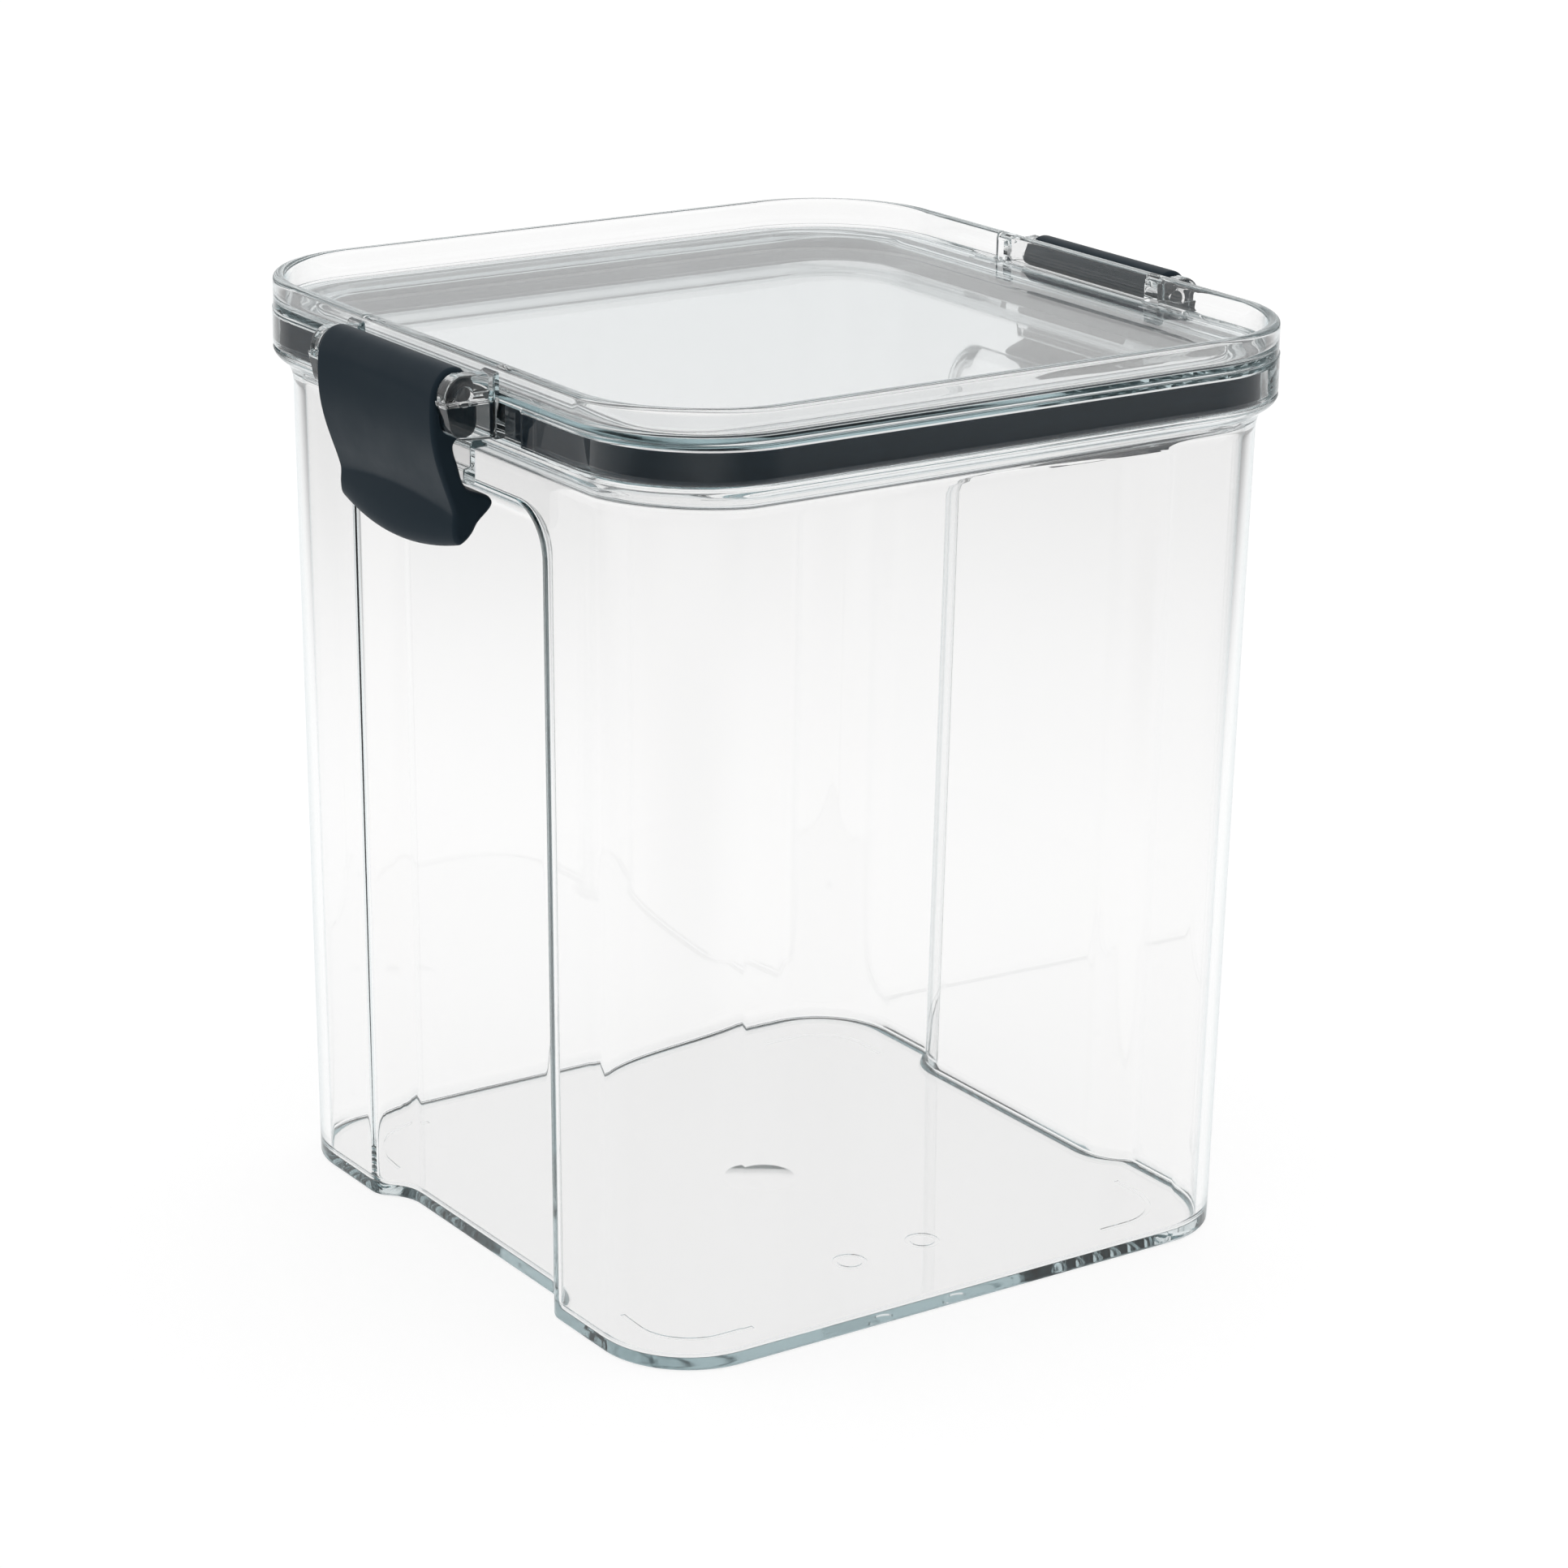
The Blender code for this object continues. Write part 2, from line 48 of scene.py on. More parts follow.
# ---------------------------------------------------------------- dimensions, millimetres
HEIGHT = 181.0
LID_HALF = (75.0, 77.2)
LID_R = 26.6
BASE_HALF = (68.8, 69.9)
BASE_R = 18.6
NECK_HALF = (71.0, 71.3)
NECK_R = 19.4
NECK_Z = 160.3
WALL = 2.2
FLOOR = 1.6
BASE_EDGE_R = 0.7
FLOOR_FILLET = 2.0
FLANGE_TOP_Z = 167.2

RECESS_HALF_W = 35.5
RECESS_TOP_Z = 156.2
RECESS_DEPTH = 5.0
RECESS_R = 9.5
SIDE_SLOPE = math.radians(45.0)
SIDE_CREST_R = 4.5
SIDE_FILLET_R = 9.0
TOP_SLOPE = math.radians(60.0)
TOP_CREST_R = 1.0
TOP_FILLET_R = 2.5

CATCH_HALF_W = 20.0
CATCH_FACE_X = 77.0
CATCH_PLATE = 1.1
CATCH_FOOT_X = 78.4
CATCH_FOOT_TOP_Z = 161.4
CATCH_EDGE_Z = 158.4
CATCH_ROOT_Z = 164.8

TOUCH = 0.3
RIM_WALL = 2.4
RIM_STEP = 0.2
SHOULDER_Z = 174.8
TRAY_FLOOR_Z = 175.4
PLATE_UNDER_Z = 173.2
PLUG_HALF = (66.8, 67.1)
PLUG_R = 15.2
PLUG_WALL = 1.8
PLUG_BOTTOM_Z = 164.2
CHANNEL_IN = (67.2, 71.2, 18.4)
CHANNEL_OUT = (70.9, 75.0, 22.2)
CHANNEL_ROOF_Z = 173.5
POCKET_HALF_W = 34.0
POCKET_FACE_X = 73.6
POCKET_TOP_Z = 174.4

PIVOT_X = 80.6
PIVOT_Z = 175.5
PIN_R = 1.5
PIN_HOLE_R = 1.85
EAR_IN_Y = 21.3
EAR_OUT_Y = 25.0
EAR_ROOT_OUT_Y = 26.4
EAR_LEDGE = 0.35
PIN_HOLE_END_Y = 24.1
PIN_END_Y = 23.8

LATCH_HALF_W = 21.0
LATCH_BACK_HALF_W = 18.4
LATCH_BOW = 3.0

# Studio levels: floor glow and paint, painted shade on the floor far off and beside, and sky strengths
FLOOR_GLOW = 0.82
FLOOR_PAINT = 0.29
FLOOR_FAR_PAINTED_SHADE = 0.30
FLOOR_BESIDE_PAINTED_SHADE = 0.35
SKY = 0.88
SKY_OPEN_SIDE = 0.40

scene = bpy.context.scene


# ---------------------------------------------------------------- mesh helpers
def smooth(t):
    t = min(1.0, max(0.0, t))
    return t * t * (3.0 - 2.0 * t)


def mesh_object(name, points, faces, sharp=32.0, weighted=True):
    """Object from points in millimetres."""
    mesh = bpy.data.meshes.new(name)
    mesh.from_pydata([(x * MM, y * MM, z * MM) for x, y, z in points], [], faces)
    mesh.validate()
    bm = bmesh.new()
    bm.from_mesh(mesh)
    bmesh.ops.recalc_face_normals(bm, faces=bm.faces)
    bm.to_mesh(mesh)
    bm.free()
    obj = bpy.data.objects.new(name, mesh)
    scene.collection.objects.link(obj)
    finish_shading(obj, sharp, weighted)
    return obj


def finish_shading(obj, sharp=32.0, weighted=True):
    obj.data.shade_smooth()
    obj.data.set_sharp_from_angle(angle=math.radians(sharp))
    if weighted:
        modifier = obj.modifiers.new("weighted_normal", "WEIGHTED_NORMAL")
        modifier.mode = "FACE_AREA_WITH_ANGLE"
        modifier.weight = 60
        modifier.keep_sharp = True


def grid_faces(row_count, column_count, closed_rows=False, cap=True):
    faces = []
    rows = range(row_count if closed_rows else row_count - 1)
    for i in rows:
        a = i * column_count
        b = ((i + 1) % row_count) * column_count
        for j in range(column_count):
            k = (j + 1) % column_count
            faces.append((a + j, a + k, b + k, b + j))
    if cap and not closed_rows:
        faces.append(tuple(reversed(range(column_count))))
        last = (row_count - 1) * column_count
        faces.append(tuple(range(last, last + column_count)))
    return faces


def skin(name, rings, closed=False, sharp=32.0, weighted=True):
    points = [p for ring in rings for p in ring]
    return mesh_object(name, points, grid_faces(len(rings), len(rings[0]), closed), sharp, weighted)


def rounded_ring(hx, hy, r, z, corner=20, side=6):
    """Rounded rectangle, anticlockwise from above, with points along its straight sides too."""
    points = []
    centres = ((hx - r, hy - r, 0), (r - hx, hy - r, 90), (r - hx, r - hy, 180), (hx - r, r - hy, 270))
    for index, (cx, cy, start) in enumerate(centres):
        arc = []
        for step in range(corner + 1):
            turn = math.radians(start + 90.0 * step / corner)
            arc.append((cx + r * math.cos(turn), cy + r * math.sin(turn), z))
        points.extend(arc)
        nx, ny, nstart = centres[(index + 1) % 4]
        turn = math.radians(nstart)
        nxt = (nx + r * math.cos(turn), ny + r * math.sin(turn), z)
        for step in range(1, side):
            t = step / side
            points.append(tuple(a + (b - a) * t for a, b in zip(arc[-1], nxt)))
    return points


def prism(name, profile, y0, y1, bevel=0.0, segments=3, rim_only=False):
    """Extrusion along Y of a closed (x, z) outline, with rounded edges round its two ends."""
    count = len(profile)
    points = [(x, y0, z) for x, z in profile] + [(x, y1, z) for x, z in profile]
    faces = [tuple(range(count)), tuple(range(2 * count - 1, count - 1, -1))]
    for i in range(count):
        j = (i + 1) % count
        faces.append((i, j, count + j, count + i))
    mesh = bpy.data.meshes.new(name)
    mesh.from_pydata([(x * MM, y * MM, z * MM) for x, y, z in points], [], faces)
    bm = bmesh.new()
    bm.from_mesh(mesh)
    bmesh.ops.recalc_face_normals(bm, faces=bm.faces)
    if bevel > 0.0:
        if rim_only:
            edges = [e for e in bm.edges if abs(e.verts[0].co.y - e.verts[1].co.y) < 1e-7]
        else:
            edges = [e for e in bm.edges if e.calc_face_angle(0.0) > math.radians(25.0)]
        bmesh.ops.bevel(
            bm, geom=edges, offset=bevel * MM, offset_type="OFFSET", segments=segments, profile=0.5,
            affect="EDGES", clamp_overlap=True,
        )
    bm.to_mesh(mesh)
    bm.free()
    obj = bpy.data.objects.new(name, mesh)
    scene.collection.objects.link(obj)
    return obj


def boolean(target, tool, operation):
    """Applies a Boolean to target's mesh and removes the tool."""
    modifier = target.modifiers.new("cut", "BOOLEAN")
    modifier.operation = operation
    modifier.solver = "EXACT"
    modifier.object = tool
    while target.modifiers[0] != modifier:
        bpy.context.view_layer.objects.active = target
        target.modifiers.move(len(target.modifiers) - 1, 0)
    bpy.context.view_layer.update()
    graph = bpy.context.evaluated_depsgraph_get()
    others = [m for m in target.modifiers if m != modifier]
    for m in others:
        m.show_viewport = False
    bpy.context.view_layer.update()
    graph = bpy.context.evaluated_depsgraph_get()
    made = bpy.data.meshes.new_from_object(target.evaluated_get(graph), depsgraph=graph)
    target.modifiers.remove(modifier)
    for m in target.modifiers:
        m.show_viewport = True
    old = target.data
    target.data = made
    bpy.data.meshes.remove(old)
    bpy.data.objects.remove(tool, do_unlink=True)


def merged(objects):
    """One object from several that don't touch."""
    bm = bmesh.new()
    for obj in objects:
        bm.from_mesh(obj.data)
    mesh = bpy.data.meshes.new("tools")
    bm.to_mesh(mesh)
    bm.free()
    for obj in objects:
        bpy.data.objects.remove(obj, do_unlink=True)
    tool = bpy.data.objects.new("tools", mesh)
    scene.collection.objects.link(tool)
    return tool


def spline(points, steps):
    """Centripetal Catmull-Rom through open points."""
    pts = [np.array(p, float) for p in points]
    pts = [2 * pts[0] - pts[1]] + pts + [2 * pts[-1] - pts[-2]]
    out = []
    for i in range(1, len(pts) - 2):
        p0, p1, p2, p3 = pts[i - 1 : i + 3]
        t0 = 0.0
        t1 = t0 + max(1e-6, np.linalg.norm(p1 - p0)) ** 0.5
        t2 = t1 + max(1e-6, np.linalg.norm(p2 - p1)) ** 0.5
        t3 = t2 + max(1e-6, np.linalg.norm(p3 - p2)) ** 0.5
        for s in range(steps):
            t = t1 + (t2 - t1) * s / steps
            a1 = (t1 - t) / (t1 - t0) * p0 + (t - t0) / (t1 - t0) * p1
            a2 = (t2 - t) / (t2 - t1) * p1 + (t - t1) / (t2 - t1) * p2
            a3 = (t3 - t) / (t3 - t2) * p2 + (t - t2) / (t3 - t2) * p3
            b1 = (t2 - t) / (t2 - t0) * a1 + (t - t0) / (t2 - t0) * a2
            b2 = (t3 - t) / (t3 - t1) * a2 + (t - t1) / (t3 - t1) * a3
            out.append((t2 - t) / (t2 - t1) * b1 + (t - t1) / (t2 - t1) * b2)
    out.append(pts[-2])
    return out


def spaced(a, b, step):
    """Values from a up to but not including b."""
    count = max(1, int(round((b - a) / step)))
    return [a + (b - a) * i / count for i in range(count)]


# ---------------------------------------------------------------- container body
def wall_section(z):
    t = z / NECK_Z
    return (
        BASE_HALF[0] + (NECK_HALF[0] - BASE_HALF[0]) * t,
        BASE_HALF[1] + (NECK_HALF[1] - BASE_HALF[1]) * t,
        BASE_R + (NECK_R - BASE_R) * t,
    )


def outline_distance(y, z, half_w, top, radius):
    """Signed distance to an upright panel with rounded top corners, open below; negative inside."""
    qy = abs(y) - (half_w - radius)
    qz = z - (top - radius)
    return math.hypot(max(qy, 0.0), max(qz, 0.0)) + min(max(qy, qz), 0.0) - radius


def s_curve_levels(crest_r, fillet_r, slope, count=10):
    """(depth, distance in from the start) along an S-curve that ends RECESS_DEPTH deep."""
    levels = []
    for i in range(count + 1):
        turn = slope * i / count
        levels.append((crest_r * (1.0 - math.cos(turn)), crest_r * math.sin(turn)))
    crest_depth, crest_in = levels[-1]
    fillet_depth = fillet_r * (1.0 - math.cos(slope))
    straight = RECESS_DEPTH - crest_depth - fillet_depth
    end_in = crest_in + straight / math.tan(slope) + fillet_r * math.sin(slope)
    for i in range(count + 1):
        turn = slope * (1.0 - i / count)
        levels.append((RECESS_DEPTH - fillet_r * (1.0 - math.cos(turn)), end_in - fillet_r * math.sin(turn)))
    return levels


def recess_levels(side_radii, top_radii):
    """Outlines of the recess at rising depths: (depth, half width, top, corner radius)."""
    side = s_curve_levels(*side_radii, SIDE_SLOPE)
    top = s_curve_levels(*top_radii, TOP_SLOPE)
    depths = sorted({round(d, 5) for d, _ in side} | {round(d, 5) for d, _ in top})
    side_d, side_in = zip(*side)
    top_d, top_in = zip(*top)
    return [
        (
            d, RECESS_HALF_W - float(np.interp(d, side_d, side_in)), RECESS_TOP_Z - float(np.interp(d, top_d, top_in)),
            RECESS_R - 0.6 * d,
        )
        for d in depths
    ]


OUTER_LEVELS = recess_levels((SIDE_CREST_R, SIDE_FILLET_R), (TOP_CREST_R, TOP_FILLET_R))
INNER_LEVELS = recess_levels((SIDE_CREST_R - WALL, SIDE_FILLET_R + WALL), (0.5, TOP_FILLET_R + WALL))


def depth_in(levels, y, z):
    def distance(k):
        _, half_w, top, radius = levels[k]
        return outline_distance(y, z, half_w, top, radius)

    if distance(0) >= 0.0:
        return 0.0
    if distance(len(levels) - 1) <= 0.0:
        return RECESS_DEPTH
    low, high = 0, len(levels) - 1
    while high - low > 1:
        middle = (low + high) // 2
        if distance(middle) < 0.0:
            low = middle
        else:
            high = middle
    near, far = distance(low), distance(high)
    share = -near / max(1e-9, far - near)
    return levels[low][0] + (levels[high][0] - levels[low][0]) * share


def recess_depth(y, z):
    return depth_in(OUTER_LEVELS, y, z)


def pad_depth(y, z):
    return depth_in(INNER_LEVELS, y, z)


def side_columns():
    """Y positions across a latch side, dense where the recess has its slopes."""
    half = spaced(0.0, 18.0, 3.0) + spaced(18.0, 23.0, 1.0) + spaced(23.0, 37.0, 0.5) + spaced(37.0, 48.0, 2.75) + [48.0]
    return [-y for y in reversed(half[1:])] + half


BODY_Y = side_columns()
BODY_CORNER = 22
BODY_SIDE = 20


def body_ring(hx, hy, r, z, depth=None):
    """One row of the body's surface. depth(y, z) pulls a latch side inwards."""
    points = []

    def latch_side(side, ys):
        for y in ys:
            points.append((side * (hx - (depth(y, z) if depth else 0.0)), y, z))

    def corner(cx, cy, start):
        for step in range(BODY_CORNER + 1):
            turn = math.radians(start + 90.0 * step / BODY_CORNER)
            points.append((cx + r * math.cos(turn), cy + r * math.sin(turn), z))

    def plain_side(y, x0, x1):
        for step in range(1, BODY_SIDE):
            points.append((x0 + (x1 - x0) * step / BODY_SIDE, y, z))

    latch_side(1.0, BODY_Y)
    corner(hx - r, hy - r, 0)
    plain_side(hy, hx - r, r - hx)
    corner(r - hx, hy - r, 90)
    latch_side(-1.0, list(reversed(BODY_Y)))
    corner(r - hx, r - hy, 180)
    plain_side(-hy, r - hx, hx - r)
    corner(hx - r, r - hy, 270)
    return points


def make_body():
    rings = []
    hx, hy, r = wall_section(BASE_EDGE_R)
    hx0, hy0, r0 = BASE_HALF[0], BASE_HALF[1], BASE_R

    # Underside, with a loop just inside its edge that keeps the flat face flat
    rings.append(body_ring(hx0 - 3.8, hy0 - 3.8, r0 - 3.8, 0.0, recess_depth))
    for step in range(7):
        turn = math.radians(90.0 * step / 6)
        inset = BASE_EDGE_R * (1.0 - math.sin(turn))
        z = BASE_EDGE_R * (1.0 - math.cos(turn))
        wx, wy, wr = wall_section(z)
        rings.append(body_ring(wx - inset, wy - inset, wr - inset, z, recess_depth))
    heights = (
        spaced(2.0, 20.0, 4.5) + spaced(20.0, 138.0, 8.0) + spaced(138.0, 150.0, 1.0) + spaced(150.0, 156.4, 0.25)
        + spaced(156.4, NECK_Z, 1.3)
    )
    for z in heights:
        rings.append(body_ring(*wall_section(z), z, recess_depth))

    # Flare up into the flange
    nx, ny, nr = NECK_HALF[0], NECK_HALF[1], NECK_R
    rise = FLANGE_TOP_Z - NECK_Z
    flare = spline(
        [
            (0.0, 0.0), (0.05, 0.20), (0.14, 0.36), (0.30, 0.51), (0.50, 0.62), (0.70, 0.71),
            (0.86, 0.80), (0.96, 0.885), (0.995, 0.95), (0.985, 0.98), (0.95, 1.0),
        ],
        4,
    )
    for out, up in flare:
        rings.append(
            body_ring(
                nx + (LID_HALF[0] - nx) * out, ny + (LID_HALF[1] - ny) * out, nr + (LID_R - nr) * out,
                NECK_Z + rise * up,
            )
        )
    # Flange top, mouth edge
    for out in (0.85, 0.3):
        rings.append(
            body_ring(
                nx + (LID_HALF[0] - nx) * out, ny + (LID_HALF[1] - ny) * out, nr + (LID_R - nr) * out, FLANGE_TOP_Z
            )
        )
    mx, my, mr = nx - WALL, ny - WALL, nr - WALL
    rings.append(body_ring(mx + 0.9, my + 0.9, mr + 0.9, FLANGE_TOP_Z))
    for step in range(5):
        turn = math.radians(90.0 * step / 4)
        rings.append(
            body_ring(
                mx + 0.5 * (1.0 - math.sin(turn)), my + 0.5 * (1.0 - math.sin(turn)), mr + 0.5 * (1.0 - math.sin(turn)),
                FLANGE_TOP_Z - 0.5 * (1.0 - math.cos(turn)),
            )
        )
    # Inside wall
    bottom = FLOOR + FLOOR_FILLET

    def inside(z):
        bx, by, br = (v - WALL for v in wall_section(bottom))
        t = (z - bottom) / (FLANGE_TOP_Z - bottom)
        return bx + (mx - bx) * t, by + (my - by) * t, br + (mr - br) * t

    heights = (
        spaced(bottom, 20.0, 4.5) + spaced(20.0, 138.0, 8.0) + spaced(138.0, 150.0, 1.0)
        + spaced(150.0, 156.4, 0.3) + spaced(156.4, 166.0, 2.4) + [166.0]
    )
    for z in reversed(heights):
        rings.append(body_ring(*inside(z), z, pad_depth))
    bx, by, br = inside(bottom)
    for step in range(1, 11):
        turn = math.radians(90.0 * step / 10)
        inset = FLOOR_FILLET * (1.0 - math.cos(turn))
        z = FLOOR + FLOOR_FILLET * (1.0 - math.sin(turn))
        rings.append(body_ring(bx - inset, by - inset, br - inset, z, pad_depth))
    rings.append(body_ring(bx - FLOOR_FILLET - 0.8, by - FLOOR_FILLET - 0.8, br - FLOOR_FILLET - 0.8, FLOOR, pad_depth))
    body = skin("body_moulding", rings, sharp=40.0)

    # Catches: a plate hanging from the flange with a foot turned outwards
    inner_x = CATCH_FACE_X - CATCH_PLATE
    catches = []
    for side in (-1.0, 1.0):
        catch = prism(
            "catch",
            [
                (side * x, z)
                for x, z in (
                    (NECK_HALF[0] + 0.6, CATCH_ROOT_Z), (inner_x - 0.5, CATCH_ROOT_Z),
                    (inner_x - 0.12, CATCH_ROOT_Z - 0.14), (inner_x, CATCH_ROOT_Z - 0.5),
                    (inner_x, CATCH_EDGE_Z + 0.4), (inner_x + 0.1, CATCH_EDGE_Z + 0.1), (inner_x + 0.4, CATCH_EDGE_Z),
                    (CATCH_FOOT_X - 0.8, CATCH_EDGE_Z), (CATCH_FOOT_X - 0.5, CATCH_EDGE_Z + 0.15),
                    (CATCH_FOOT_X - 0.1, CATCH_EDGE_Z + 0.7), (CATCH_FOOT_X, CATCH_EDGE_Z + 1.1),
                    (CATCH_FOOT_X, CATCH_FOOT_TOP_Z - 0.5), (CATCH_FOOT_X - 0.15, CATCH_FOOT_TOP_Z - 0.15),
                    (CATCH_FOOT_X - 0.5, CATCH_FOOT_TOP_Z), (CATCH_FACE_X + 0.4, CATCH_FOOT_TOP_Z),
                    (CATCH_FACE_X + 0.1, CATCH_FOOT_TOP_Z + 0.1), (CATCH_FACE_X, CATCH_FOOT_TOP_Z + 0.4),
                    (CATCH_FACE_X, FLANGE_TOP_Z - 2.0), (CATCH_FACE_X - 0.25, FLANGE_TOP_Z - 1.35),
                    (CATCH_FACE_X - 0.9, FLANGE_TOP_Z - 0.9), (LID_HALF[0] - 1.0, FLANGE_TOP_Z - 0.6),
                    (NECK_HALF[0] + 0.6, FLANGE_TOP_Z - 0.6),
                )
            ],
            -CATCH_HALF_W, CATCH_HALF_W, bevel=0.2, segments=3, rim_only=True,
        )
        catches.append(catch)
    boolean(body, merged(catches), "UNION")
    boolean(body, merged(base_marks()), "DIFFERENCE")
    finish_flags(body, 40.0)
    return body


def base_marks():
    """Shallow moulded marks in the underside: four corner brackets, the gate's dimple and two plain rings."""
    deep, wide = 0.2, 1.0

    def strip(path, closed=False):
        pts = [np.array(q, float) for q in path]
        count = len(pts)
        left, right = [], []
        for i in range(count):
            before = pts[i - 1] if (i > 0 or closed) else pts[i]
            after = pts[(i + 1) % count] if (i < count - 1 or closed) else pts[i]
            ahead = (after - before) / np.linalg.norm(after - before)
            across = np.array((-ahead[1], ahead[0])) * 0.5 * wide
            left.append(pts[i] + across)
            right.append(pts[i] - across)
        points, faces = [], []
        for i in range(count):
            for q, z in ((left[i], -1.0), (right[i], -1.0), (right[i] * 1.0, deep), (left[i], deep)):
                points.append((q[0], q[1], z))
        last = count if closed else count - 1
        for i in range(last):
            a, b = 4 * i, 4 * ((i + 1) % count)
            for k in range(4):
                m = (k + 1) % 4
                faces.append((a + k, b + k, b + m, a + m))
        if not closed:
            faces.append((3, 2, 1, 0))
            a = 4 * (count - 1)
            faces.append((a, a + 1, a + 2, a + 3))
        return mesh_object("groove", points, faces, weighted=False)

    half, corner, leg = 58.4, 11.0, 41.0
    made = []
    for sx in (-1.0, 1.0):
        for sy in (-1.0, 1.0):
            path = [(sx * half, sy * leg)]
            for i in range(13):
                turn = math.radians(90.0 * i / 12)
                path.append((sx * (half - corner + corner * math.cos(turn)), sy * (half - corner + corner * math.sin(turn))))
            path.append((sx * leg, sy * half))
            made.append(strip(path))
    dimple_r, dimple_deep = 6.8, 0.35
    sphere_r = (dimple_r ** 2 + dimple_deep ** 2) / (2.0 * dimple_deep)
    rings = []
    for out in (7.0, 6.0, 5.0, 4.0, 3.0, 2.0, 1.0, 0.4):
        z = dimple_deep - out * out / (2.0 * sphere_r)
        rings.append([(out * math.cos(2 * math.pi * i / 48), -1.5 + out * math.sin(2 * math.pi * i / 48), z) for i in range(48)])
    rings.insert(0, [(x, y, -1.0) for x, y, _ in rings[0]])
    made.append(skin("gate", rings, weighted=False))
    for cx, cy, radius in ((-9.0, -44.0, 2.9), (8.5, -43.5, 2.9)):
        made.append(
            strip([(cx + radius * math.cos(2 * math.pi * i / 40), cy + radius * math.sin(2 * math.pi * i / 40)) for i in range(40)], True)
        )
    return made


